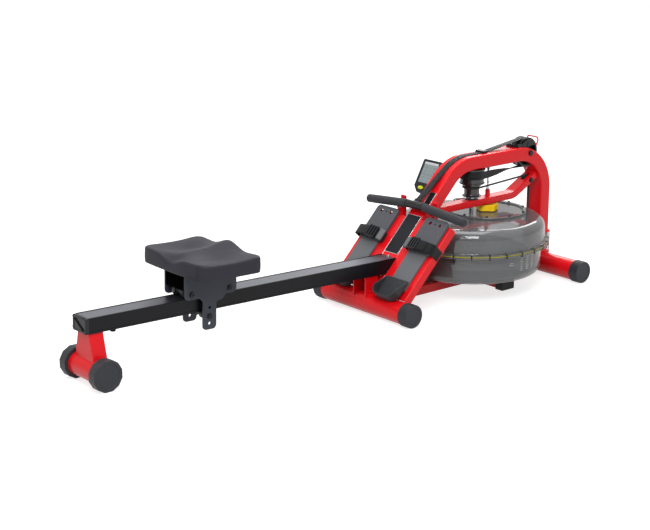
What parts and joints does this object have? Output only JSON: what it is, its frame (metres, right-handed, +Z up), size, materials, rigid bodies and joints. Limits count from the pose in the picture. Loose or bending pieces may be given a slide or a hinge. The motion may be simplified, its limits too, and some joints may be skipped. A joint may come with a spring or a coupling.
{
  "type": "water rowing machine",
  "caption": "Red framed water rower: sloping seat rail, bent tube arch over a round smoke-grey water tank, footboards, rolling seat and pull handle.",
  "frame": {"origin": "on the floor under the middle of the machine's overall box, midway between its rear and front ends", "axes": "+X from the rear foot to the tank, +Y to the rower's left as they face the tank, +Z up"},
  "size_m": [2.0552, 0.57, 0.523],
  "materials": {
    "red_paint": "glossy red powder coat",
    "black_paint": "satin black powder coat",
    "grey_track": "grey running strip",
    "steel_blue": "dark blue-grey powder coat",
    "dark_plastic": "dark grey moulded",
    "black_plastic": "black moulded",
    "grey_plastic": "grey moulded",
    "black_rubber": "matt",
    "webbing": "woven black webbing",
    "seat_foam": "soft moulded skin, matt",
    "grip_foam": "soft foam, matt",
    "steel": "bright",
    "smoke": "smoke-grey clear plastic, glossy",
    "yellow": "yellow moulded",
    "screen": "grey display window"
  },
  "bodies": {
    "frame": {"rail": "black_paint", "rail_top_strip": "grey_track", "rail_end_cap": "black_plastic", "seat_stop_rear": "black_rubber", "rear_leg": "red_paint", "mid_foot": "red_paint", "front_foot": "red_paint", "main_frame_tube": "red_paint", "lower_bar": "red_paint", "base_beam": "red_paint", "pulley_axle": "steel", "pulley_guard": "black_plastic", "belt_guide": "black_plastic", "drum_bracket": "black_paint", "guide_rod": "steel", "monitor_arm": "black_paint", "belt_run": "webbing", "bungee_cord": "webbing", "tank_lower": "smoke", "tank_upper": "smoke", "seal_ring": "yellow", "tank_lid": "smoke", "tank_baffle": "grey_plastic", "fill_plug": "black_plastic", "rear_foot_cap_left": "dark_plastic", "mid_foot_cap_left": "dark_plastic", "front_foot_cap_left": "dark_plastic", "tank_rest_left": "black_rubber", "footboard_left": "red_paint", "toe_board_left": "grey_plastic", "foot_strap_left": "webbing", "rear_foot_cap_right": "dark_plastic", "mid_foot_cap_right": "dark_plastic", "front_foot_cap_right": "dark_plastic", "tank_rest_right": "black_rubber", "footboard_right": "red_paint", "toe_board_right": "grey_plastic", "foot_strap_right": "webbing"},
    "seat": {"seat_pad": "seat_foam", "seat_carriage": "steel_blue"},
    "wheel_rear": {"seat_wheel_rear": "black_plastic"},
    "wheel_front": {"seat_wheel_front": "black_plastic"},
    "wheel_lower": {"seat_wheel_lower": "black_plastic"},
    "handle": {"handle_bar": "black_paint", "handle_grip_left": "grip_foam", "handle_grip_right": "grip_foam", "handle_clip": "black_plastic"},
    "pulley": {"belt_pulley": "black_plastic"},
    "drum": {"drum_spool": "black_plastic"},
    "paddle": {"impeller_shaft": "steel", "impeller": "black_plastic"},
    "sheave_upper": {"bungee_pulley_upper": "black_plastic"},
    "sheave_lower": {"bungee_pulley_lower": "black_plastic"},
    "heel_left": {"heel_slider_left": "black_plastic"},
    "heel_right": {"heel_slider_right": "black_plastic"},
    "monitor": {"monitor_housing": "black_plastic", "monitor_lens": "screen"},
    "button": {"monitor_button": "yellow"},
    "knob": {"tank_knob": "yellow"}
  },
  "joints": [
    {"name": "seat_slide", "type": "slide", "parent": "frame", "child": "seat", "axis": [0.9996, 0, -0.0279], "range_m": [-0.29, 0.62]},
    {"name": "wheel_rear_roll", "type": "hinge", "parent": "seat", "child": "wheel_rear", "pos_m": [-0.63989, 0, 0.22663], "axis": [0, 1, 0], "continuous": true},
    {"name": "wheel_front_roll", "type": "hinge", "parent": "seat", "child": "wheel_front", "pos_m": [-0.49395, 0, 0.22256], "axis": [0, 1, 0], "continuous": true},
    {"name": "wheel_lower_roll", "type": "hinge", "parent": "seat", "child": "wheel_lower", "pos_m": [-0.57417, 0, 0.14396], "axis": [0, 1, 0], "continuous": true},
    {"name": "handle_pull", "type": "slide", "parent": "frame", "child": "handle", "axis": [-0.9397, 0, 0.342], "range_m": [0, 1.1], "stiffness_N_per_m": 30, "springref_m": -0.6},
    {"name": "belt_pulley_turn", "type": "hinge", "parent": "frame", "child": "pulley", "pos_m": [0.90541, 0, 0.468], "axis": [0, 1, 0], "continuous": true},
    {"name": "drum_turn", "type": "hinge", "parent": "frame", "child": "drum", "pos_m": [0.63941, 0, 0.386], "axis": [0, 0, 1], "continuous": true},
    {"name": "sheave_upper_turn", "type": "hinge", "parent": "frame", "child": "sheave_upper", "pos_m": [0.92741, 0, 0.36023], "axis": [0, 1, 0], "continuous": true},
    {"name": "sheave_lower_turn", "type": "hinge", "parent": "frame", "child": "sheave_lower", "pos_m": [0.92741, 0, 0.082], "axis": [0, 1, 0], "continuous": true},
    {"name": "paddle_turn", "type": "hinge", "parent": "frame", "child": "paddle", "pos_m": [0.63941, 0, 0.121], "axis": [0, 0, 1], "continuous": true},
    {"name": "heel_left_slide", "type": "slide", "parent": "frame", "child": "heel_left", "axis": [0.6947, 0, 0.7193], "range_m": [-0.03, 0.04]},
    {"name": "heel_right_slide", "type": "slide", "parent": "frame", "child": "heel_right", "axis": [0.6947, 0, 0.7193], "range_m": [-0.03, 0.04]},
    {"name": "monitor_tilt", "type": "hinge", "parent": "frame", "child": "monitor", "pos_m": [0.54406, 0.1, 0.39388], "axis": [0, 1, 0], "range_deg": [-20, 15]},
    {"name": "button_press", "type": "slide", "parent": "monitor", "child": "button", "axis": [0.8796, 0, -0.4756], "range_m": [0, 0.0015], "stiffness_N_per_m": 300},
    {"name": "knob_turn", "type": "hinge", "parent": "frame", "child": "knob", "pos_m": [0.72241, 0, 0.285], "axis": [0, 0, 1], "range_deg": [0, 270]}
  ],
  "couplings": [
    {"joint": "wheel_rear_roll", "follows": "seat_slide", "rad_per_m": 55.556},
    {"joint": "wheel_front_roll", "follows": "seat_slide", "rad_per_m": 55.556},
    {"joint": "wheel_lower_roll", "follows": "seat_slide", "rad_per_m": -72.993},
    {"joint": "belt_pulley_turn", "follows": "handle_pull", "rad_per_m": -18.779},
    {"joint": "drum_turn", "follows": "handle_pull", "rad_per_m": 22.422},
    {"joint": "sheave_upper_turn", "follows": "handle_pull", "rad_per_m": -44.563},
    {"joint": "sheave_lower_turn", "follows": "handle_pull", "rad_per_m": -44.563}
  ]
}
